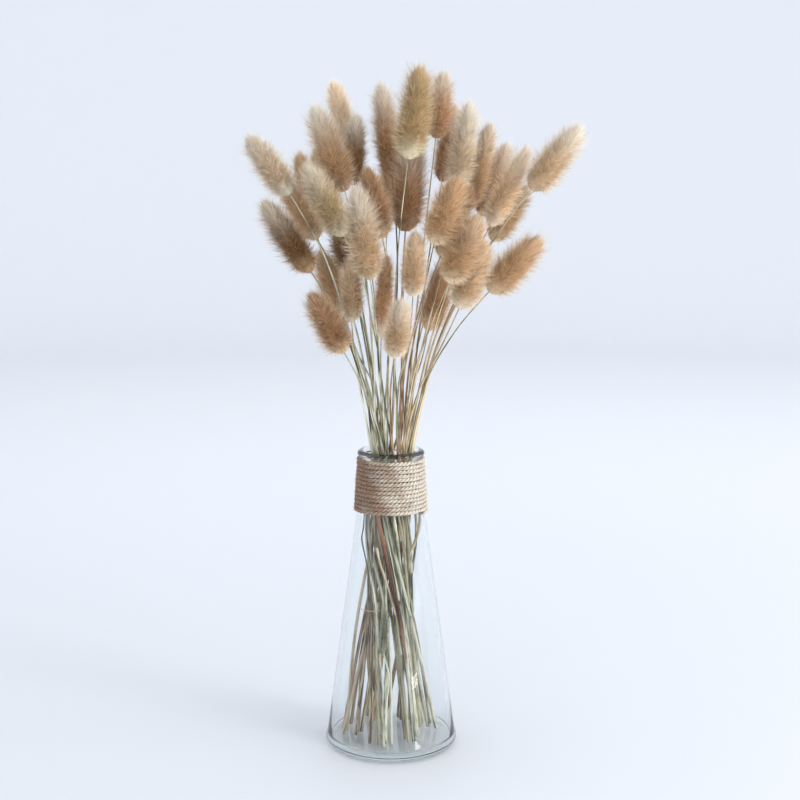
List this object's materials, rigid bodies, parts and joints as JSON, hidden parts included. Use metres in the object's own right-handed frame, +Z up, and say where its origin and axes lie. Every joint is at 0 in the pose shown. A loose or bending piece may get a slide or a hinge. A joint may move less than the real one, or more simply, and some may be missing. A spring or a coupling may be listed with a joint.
{
  "type": "vase of dried bunny tail grass",
  "caption": "Bunch of dried bunny tail grass, soft oval heads on wiry stems crossing in a clear conical glass bottle vase with twine wound round its neck.",
  "frame": {"origin": "centre of the vase's flat underside, on the surface it stands on", "axes": "+Z up along the vase's axis, -Y towards the side seen in the usual front view, +X to the right of that view"},
  "size_m": [0.2079, 0.1701, 0.4458],
  "materials": {
    "vase_glass": "clear, polished, faintly cool in its thick base",
    "jute_twine": "dry twisted jute, matt and a little hairy",
    "dried_grass_cream": "dry and matt, head furred with fine cream hair",
    "dried_grass_tan": "dry and matt, head furred with fine tan hair",
    "dried_grass_brown": "dry and matt, head furred with fine brown hair"
  },
  "bodies": {
    "root": {"glass_vase": "vase_glass", "twine_wrap": "jute_twine", "bunny_tail_01": "dried_grass_cream", "bunny_tail_02": "dried_grass_brown", "bunny_tail_03": "dried_grass_cream", "bunny_tail_04": "dried_grass_cream", "bunny_tail_05": "dried_grass_brown", "bunny_tail_06": "dried_grass_tan", "bunny_tail_07": "dried_grass_tan", "bunny_tail_08": "dried_grass_tan", "bunny_tail_09": "dried_grass_cream", "bunny_tail_10": "dried_grass_tan", "bunny_tail_11": "dried_grass_tan", "bunny_tail_12": "dried_grass_brown", "bunny_tail_13": "dried_grass_cream", "bunny_tail_14": "dried_grass_brown", "bunny_tail_15": "dried_grass_brown", "bunny_tail_16": "dried_grass_tan", "bunny_tail_17": "dried_grass_brown", "bunny_tail_18": "dried_grass_tan", "bunny_tail_19": "dried_grass_brown", "bunny_tail_20": "dried_grass_brown", "bunny_tail_21": "dried_grass_cream", "bunny_tail_22": "dried_grass_cream", "bunny_tail_23": "dried_grass_tan", "bunny_tail_24": "dried_grass_tan", "bunny_tail_25": "dried_grass_tan", "bunny_tail_26": "dried_grass_brown", "bunny_tail_27": "dried_grass_tan", "bunny_tail_28": "dried_grass_brown", "bunny_tail_29": "dried_grass_tan", "bunny_tail_30": "dried_grass_brown", "bunny_tail_31": "dried_grass_brown", "bunny_tail_32": "dried_grass_brown", "bunny_tail_33": "dried_grass_tan", "bunny_tail_34": "dried_grass_tan", "bunny_tail_35": "dried_grass_brown", "bunny_tail_36": "dried_grass_tan", "bunny_tail_37": "dried_grass_brown", "bunny_tail_38": "dried_grass_cream", "bunny_tail_39": "dried_grass_tan", "bunny_tail_40": "dried_grass_tan"}
  },
  "joints": []
}
